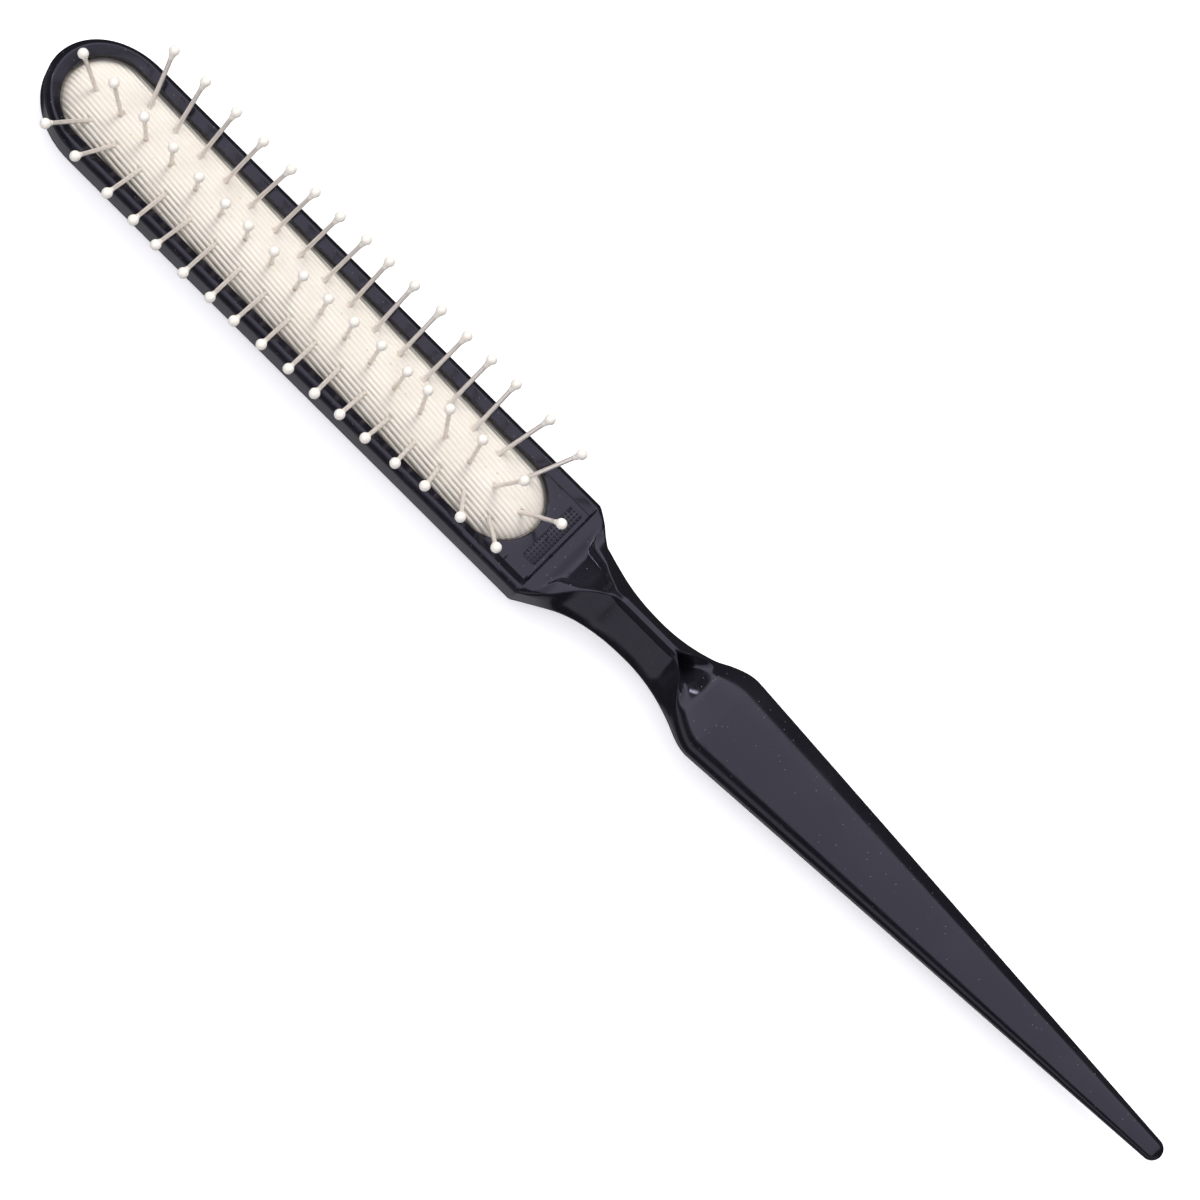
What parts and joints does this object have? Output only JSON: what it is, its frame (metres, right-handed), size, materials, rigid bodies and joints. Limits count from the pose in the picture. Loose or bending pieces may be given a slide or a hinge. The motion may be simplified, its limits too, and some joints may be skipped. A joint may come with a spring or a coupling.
{
  "type": "rat tail comb",
  "caption": "Slim cushion styling brush with a pointed rat tail handle and rows of ball-tipped wire pins in a ribbed rubber pad.",
  "frame": {"origin": "on the surface the brush rests on, under the middle of its length and width", "axes": "+X along the brush from the nose of the head to the tip of the tail, +Y across it, +Z the way the pins stand"},
  "size_m": [0.2221, 0.0243, 0.0192],
  "materials": {
    "black_plastic": "polished injection-moulded black plastic",
    "ivory_rubber": "matt ivory rubber with fine lengthwise ribs",
    "pin_steel": "drawn bright steel wire",
    "ball_tip": "smooth ivory resin bead"
  },
  "bodies": {
    "brush": {"handle_body": "black_plastic", "rubber_cushion": "ivory_rubber"},
    "rocker_left_01": {"pin_left_01": "pin_steel"},
    "rocker_left_02": {"pin_left_02": "pin_steel"},
    "rocker_left_03": {"pin_left_03": "pin_steel"},
    "rocker_left_04": {"pin_left_04": "pin_steel"},
    "rocker_left_05": {"pin_left_05": "pin_steel"},
    "rocker_left_06": {"pin_left_06": "pin_steel"},
    "rocker_left_07": {"pin_left_07": "pin_steel"},
    "rocker_left_08": {"pin_left_08": "pin_steel"},
    "rocker_left_09": {"pin_left_09": "pin_steel"},
    "rocker_left_10": {"pin_left_10": "pin_steel"},
    "rocker_left_11": {"pin_left_11": "pin_steel"},
    "rocker_left_12": {"pin_left_12": "pin_steel"},
    "rocker_left_13": {"pin_left_13": "pin_steel"},
    "rocker_left_14": {"pin_left_14": "pin_steel"},
    "rocker_left_15": {"pin_left_15": "pin_steel"},
    "rocker_left_16": {"pin_left_16": "pin_steel"},
    "rocker_middle_01": {"pin_middle_01": "pin_steel"},
    "rocker_middle_02": {"pin_middle_02": "pin_steel"},
    "rocker_middle_03": {"pin_middle_03": "pin_steel"},
    "rocker_middle_04": {"pin_middle_04": "pin_steel"},
    "rocker_middle_05": {"pin_middle_05": "pin_steel"},
    "rocker_middle_06": {"pin_middle_06": "pin_steel"},
    "rocker_middle_07": {"pin_middle_07": "pin_steel"},
    "rocker_middle_08": {"pin_middle_08": "pin_steel"},
    "rocker_middle_09": {"pin_middle_09": "pin_steel"},
    "rocker_middle_10": {"pin_middle_10": "pin_steel"},
    "rocker_middle_11": {"pin_middle_11": "pin_steel"},
    "rocker_middle_12": {"pin_middle_12": "pin_steel"},
    "rocker_middle_13": {"pin_middle_13": "pin_steel"},
    "rocker_middle_14": {"pin_middle_14": "pin_steel"},
    "rocker_middle_15": {"pin_middle_15": "pin_steel"},
    "rocker_middle_16": {"pin_middle_16": "pin_steel"},
    "rocker_middle_17": {"pin_middle_17": "pin_steel"},
    "rocker_middle_18": {"pin_middle_18": "pin_steel"},
    "rocker_right_01": {"pin_right_01": "pin_steel"},
    "rocker_right_02": {"pin_right_02": "pin_steel"},
    "rocker_right_03": {"pin_right_03": "pin_steel"},
    "rocker_right_04": {"pin_right_04": "pin_steel"},
    "rocker_right_05": {"pin_right_05": "pin_steel"},
    "rocker_right_06": {"pin_right_06": "pin_steel"},
    "rocker_right_07": {"pin_right_07": "pin_steel"},
    "rocker_right_08": {"pin_right_08": "pin_steel"},
    "rocker_right_09": {"pin_right_09": "pin_steel"},
    "rocker_right_10": {"pin_right_10": "pin_steel"},
    "rocker_right_11": {"pin_right_11": "pin_steel"},
    "rocker_right_12": {"pin_right_12": "pin_steel"},
    "rocker_right_13": {"pin_right_13": "pin_steel"},
    "rocker_right_14": {"pin_right_14": "pin_steel"},
    "rocker_right_15": {"pin_right_15": "pin_steel"},
    "rocker_right_16": {"pin_right_16": "pin_steel"},
    "rocker_right_17": {"pin_right_17": "pin_steel"}
  },
  "joints": [
    {"name": "pin_left_01_rock", "type": "hinge", "parent": "brush", "child": "rocker_left_01", "pos_m": [-0.09624, 0.00319, 0.00679], "axis": [1, 0, 0], "range_deg": [-8, 10], "stiffness_Nm_per_rad": 0.02},
    {"name": "pin_left_02_rock", "type": "hinge", "parent": "brush", "child": "rocker_left_02", "pos_m": [-0.09135, 0.0032, 0.00676], "axis": [1, 0, 0], "range_deg": [-8, 10], "stiffness_Nm_per_rad": 0.02},
    {"name": "pin_left_03_rock", "type": "hinge", "parent": "brush", "child": "rocker_left_03", "pos_m": [-0.08647, 0.00322, 0.00673], "axis": [1, 0, 0], "range_deg": [-8, 10], "stiffness_Nm_per_rad": 0.02},
    {"name": "pin_left_04_rock", "type": "hinge", "parent": "brush", "child": "rocker_left_04", "pos_m": [-0.08154, 0.00324, 0.00672], "axis": [1, 0, 0], "range_deg": [-8, 10], "stiffness_Nm_per_rad": 0.02},
    {"name": "pin_left_05_rock", "type": "hinge", "parent": "brush", "child": "rocker_left_05", "pos_m": [-0.07658, 0.00324, 0.00672], "axis": [1, 0, 0], "range_deg": [-8, 10], "stiffness_Nm_per_rad": 0.02},
    {"name": "pin_left_06_rock", "type": "hinge", "parent": "brush", "child": "rocker_left_06", "pos_m": [-0.07157, 0.00323, 0.00672], "axis": [1, 0, 0], "range_deg": [-8, 10], "stiffness_Nm_per_rad": 0.02},
    {"name": "pin_left_07_rock", "type": "hinge", "parent": "brush", "child": "rocker_left_07", "pos_m": [-0.06655, 0.00321, 0.00673], "axis": [1, 0, 0], "range_deg": [-8, 10], "stiffness_Nm_per_rad": 0.02},
    {"name": "pin_left_08_rock", "type": "hinge", "parent": "brush", "child": "rocker_left_08", "pos_m": [-0.06154, 0.00319, 0.00675], "axis": [1, 0, 0], "range_deg": [-8, 10], "stiffness_Nm_per_rad": 0.02},
    {"name": "pin_left_09_rock", "type": "hinge", "parent": "brush", "child": "rocker_left_09", "pos_m": [-0.05651, 0.00317, 0.00677], "axis": [1, 0, 0], "range_deg": [-8, 10], "stiffness_Nm_per_rad": 0.02},
    {"name": "pin_left_10_rock", "type": "hinge", "parent": "brush", "child": "rocker_left_10", "pos_m": [-0.05148, 0.00315, 0.00679], "axis": [1, 0, 0], "range_deg": [-8, 10], "stiffness_Nm_per_rad": 0.02},
    {"name": "pin_left_11_rock", "type": "hinge", "parent": "brush", "child": "rocker_left_11", "pos_m": [-0.0465, 0.00314, 0.0068], "axis": [1, 0, 0], "range_deg": [-8, 10], "stiffness_Nm_per_rad": 0.02},
    {"name": "pin_left_12_rock", "type": "hinge", "parent": "brush", "child": "rocker_left_12", "pos_m": [-0.04152, 0.00313, 0.00681], "axis": [1, 0, 0], "range_deg": [-8, 10], "stiffness_Nm_per_rad": 0.02},
    {"name": "pin_left_13_rock", "type": "hinge", "parent": "brush", "child": "rocker_left_13", "pos_m": [-0.03649, 0.00312, 0.00681], "axis": [1, 0, 0], "range_deg": [-8, 10], "stiffness_Nm_per_rad": 0.02},
    {"name": "pin_left_14_rock", "type": "hinge", "parent": "brush", "child": "rocker_left_14", "pos_m": [-0.0315, 0.00312, 0.00681], "axis": [1, 0, 0], "range_deg": [-8, 10], "stiffness_Nm_per_rad": 0.02},
    {"name": "pin_left_15_rock", "type": "hinge", "parent": "brush", "child": "rocker_left_15", "pos_m": [-0.02668, 0.00313, 0.00682], "axis": [1, 0, 0], "range_deg": [-8, 10], "stiffness_Nm_per_rad": 0.02},
    {"name": "pin_left_16_rock", "type": "hinge", "parent": "brush", "child": "rocker_left_16", "pos_m": [-0.02184, 0.00316, 0.00683], "axis": [1, 0, 0], "range_deg": [-8, 10], "stiffness_Nm_per_rad": 0.02},
    {"name": "pin_middle_01_rock", "type": "hinge", "parent": "brush", "child": "rocker_middle_01", "pos_m": [-0.10321, 0.00003, 0.00696], "axis": [1, 0, 0], "range_deg": [-10, 10], "stiffness_Nm_per_rad": 0.02},
    {"name": "pin_middle_02_rock", "type": "hinge", "parent": "brush", "child": "rocker_middle_02", "pos_m": [-0.09832, 0.00006, 0.00714], "axis": [1, 0, 0], "range_deg": [-10, 10], "stiffness_Nm_per_rad": 0.02},
    {"name": "pin_middle_03_rock", "type": "hinge", "parent": "brush", "child": "rocker_middle_03", "pos_m": [-0.09346, 0.00009, 0.00711], "axis": [1, 0, 0], "range_deg": [-10, 10], "stiffness_Nm_per_rad": 0.02},
    {"name": "pin_middle_04_rock", "type": "hinge", "parent": "brush", "child": "rocker_middle_04", "pos_m": [-0.08855, 0.00012, 0.00711], "axis": [1, 0, 0], "range_deg": [-10, 10], "stiffness_Nm_per_rad": 0.02},
    {"name": "pin_middle_05_rock", "type": "hinge", "parent": "brush", "child": "rocker_middle_05", "pos_m": [-0.08361, 0.00014, 0.00711], "axis": [1, 0, 0], "range_deg": [-10, 10], "stiffness_Nm_per_rad": 0.02},
    {"name": "pin_middle_06_rock", "type": "hinge", "parent": "brush", "child": "rocker_middle_06", "pos_m": [-0.07862, 0.00016, 0.00711], "axis": [1, 0, 0], "range_deg": [-10, 10], "stiffness_Nm_per_rad": 0.02},
    {"name": "pin_middle_07_rock", "type": "hinge", "parent": "brush", "child": "rocker_middle_07", "pos_m": [-0.07358, 0.00015, 0.00711], "axis": [1, 0, 0], "range_deg": [-10, 10], "stiffness_Nm_per_rad": 0.02},
    {"name": "pin_middle_08_rock", "type": "hinge", "parent": "brush", "child": "rocker_middle_08", "pos_m": [-0.06859, 0.00014, 0.00711], "axis": [1, 0, 0], "range_deg": [-10, 10], "stiffness_Nm_per_rad": 0.02},
    {"name": "pin_middle_09_rock", "type": "hinge", "parent": "brush", "child": "rocker_middle_09", "pos_m": [-0.06362, 0.00011, 0.00711], "axis": [1, 0, 0], "range_deg": [-10, 10], "stiffness_Nm_per_rad": 0.02},
    {"name": "pin_middle_10_rock", "type": "hinge", "parent": "brush", "child": "rocker_middle_10", "pos_m": [-0.05861, 0.00008, 0.0071], "axis": [1, 0, 0], "range_deg": [-10, 10], "stiffness_Nm_per_rad": 0.02},
    {"name": "pin_middle_11_rock", "type": "hinge", "parent": "brush", "child": "rocker_middle_11", "pos_m": [-0.05358, 0.00005, 0.0071], "axis": [1, 0, 0], "range_deg": [-10, 10], "stiffness_Nm_per_rad": 0.02},
    {"name": "pin_middle_12_rock", "type": "hinge", "parent": "brush", "child": "rocker_middle_12", "pos_m": [-0.0486, 0.00003, 0.0071], "axis": [1, 0, 0], "range_deg": [-10, 10], "stiffness_Nm_per_rad": 0.02},
    {"name": "pin_middle_13_rock", "type": "hinge", "parent": "brush", "child": "rocker_middle_13", "pos_m": [-0.04361, 0.00001, 0.0071], "axis": [1, 0, 0], "range_deg": [-10, 10], "stiffness_Nm_per_rad": 0.02},
    {"name": "pin_middle_14_rock", "type": "hinge", "parent": "brush", "child": "rocker_middle_14", "pos_m": [-0.0385, 0, 0.00711], "axis": [1, 0, 0], "range_deg": [-10, 10], "stiffness_Nm_per_rad": 0.02},
    {"name": "pin_middle_15_rock", "type": "hinge", "parent": "brush", "child": "rocker_middle_15", "pos_m": [-0.03341, -0.00002, 0.00712], "axis": [1, 0, 0], "range_deg": [-10, 10], "stiffness_Nm_per_rad": 0.02},
    {"name": "pin_middle_16_rock", "type": "hinge", "parent": "brush", "child": "rocker_middle_16", "pos_m": [-0.02855, -0.00004, 0.0071], "axis": [1, 0, 0], "range_deg": [-10, 10], "stiffness_Nm_per_rad": 0.02},
    {"name": "pin_middle_17_rock", "type": "hinge", "parent": "brush", "child": "rocker_middle_17", "pos_m": [-0.02386, -0.00006, 0.00714], "axis": [1, 0, 0], "range_deg": [-10, 10], "stiffness_Nm_per_rad": 0.02},
    {"name": "pin_middle_18_rock", "type": "hinge", "parent": "brush", "child": "rocker_middle_18", "pos_m": [-0.01913, -0.00006, 0.00676], "axis": [1, 0, 0], "range_deg": [-10, 10], "stiffness_Nm_per_rad": 0.02},
    {"name": "pin_right_01_rock", "type": "hinge", "parent": "brush", "child": "rocker_right_01", "pos_m": [-0.10077, -0.00313, 0.00688], "axis": [1, 0, 0], "range_deg": [-10, 8], "stiffness_Nm_per_rad": 0.02},
    {"name": "pin_right_02_rock", "type": "hinge", "parent": "brush", "child": "rocker_right_02", "pos_m": [-0.09591, -0.00309, 0.00687], "axis": [1, 0, 0], "range_deg": [-10, 8], "stiffness_Nm_per_rad": 0.02},
    {"name": "pin_right_03_rock", "type": "hinge", "parent": "brush", "child": "rocker_right_03", "pos_m": [-0.09108, -0.00305, 0.00688], "axis": [1, 0, 0], "range_deg": [-10, 7], "stiffness_Nm_per_rad": 0.02},
    {"name": "pin_right_04_rock", "type": "hinge", "parent": "brush", "child": "rocker_right_04", "pos_m": [-0.0861, -0.00303, 0.0069], "axis": [1, 0, 0], "range_deg": [-10, 5], "stiffness_Nm_per_rad": 0.02},
    {"name": "pin_right_05_rock", "type": "hinge", "parent": "brush", "child": "rocker_right_05", "pos_m": [-0.08109, -0.00302, 0.00692], "axis": [1, 0, 0], "range_deg": [-10, 4], "stiffness_Nm_per_rad": 0.02},
    {"name": "pin_right_06_rock", "type": "hinge", "parent": "brush", "child": "rocker_right_06", "pos_m": [-0.07612, -0.00302, 0.00692], "axis": [1, 0, 0], "range_deg": [-10, 4], "stiffness_Nm_per_rad": 0.02},
    {"name": "pin_right_07_rock", "type": "hinge", "parent": "brush", "child": "rocker_right_07", "pos_m": [-0.07114, -0.00302, 0.00691], "axis": [1, 0, 0], "range_deg": [-10, 5], "stiffness_Nm_per_rad": 0.02},
    {"name": "pin_right_08_rock", "type": "hinge", "parent": "brush", "child": "rocker_right_08", "pos_m": [-0.06612, -0.00304, 0.0069], "axis": [1, 0, 0], "range_deg": [-10, 6], "stiffness_Nm_per_rad": 0.02},
    {"name": "pin_right_09_rock", "type": "hinge", "parent": "brush", "child": "rocker_right_09", "pos_m": [-0.06112, -0.00306, 0.00687], "axis": [1, 0, 0], "range_deg": [-10, 8], "stiffness_Nm_per_rad": 0.02},
    {"name": "pin_right_10_rock", "type": "hinge", "parent": "brush", "child": "rocker_right_10", "pos_m": [-0.05615, -0.00308, 0.00685], "axis": [1, 0, 0], "range_deg": [-10, 8], "stiffness_Nm_per_rad": 0.02},
    {"name": "pin_right_11_rock", "type": "hinge", "parent": "brush", "child": "rocker_right_11", "pos_m": [-0.05114, -0.0031, 0.00683], "axis": [1, 0, 0], "range_deg": [-10, 8], "stiffness_Nm_per_rad": 0.02},
    {"name": "pin_right_12_rock", "type": "hinge", "parent": "brush", "child": "rocker_right_12", "pos_m": [-0.0461, -0.00312, 0.00681], "axis": [1, 0, 0], "range_deg": [-10, 8], "stiffness_Nm_per_rad": 0.02},
    {"name": "pin_right_13_rock", "type": "hinge", "parent": "brush", "child": "rocker_right_13", "pos_m": [-0.04111, -0.00314, 0.00679], "axis": [1, 0, 0], "range_deg": [-10, 8], "stiffness_Nm_per_rad": 0.02},
    {"name": "pin_right_14_rock", "type": "hinge", "parent": "brush", "child": "rocker_right_14", "pos_m": [-0.03614, -0.00318, 0.00676], "axis": [1, 0, 0], "range_deg": [-10, 8], "stiffness_Nm_per_rad": 0.02},
    {"name": "pin_right_15_rock", "type": "hinge", "parent": "brush", "child": "rocker_right_15", "pos_m": [-0.03117, -0.00323, 0.00673], "axis": [1, 0, 0], "range_deg": [-10, 8], "stiffness_Nm_per_rad": 0.02},
    {"name": "pin_right_16_rock", "type": "hinge", "parent": "brush", "child": "rocker_right_16", "pos_m": [-0.02633, -0.00329, 0.00672], "axis": [1, 0, 0], "range_deg": [-10, 8], "stiffness_Nm_per_rad": 0.02},
    {"name": "pin_right_17_rock", "type": "hinge", "parent": "brush", "child": "rocker_right_17", "pos_m": [-0.02148, -0.00333, 0.00669], "axis": [1, 0, 0], "range_deg": [-10, 8], "stiffness_Nm_per_rad": 0.02}
  ]
}
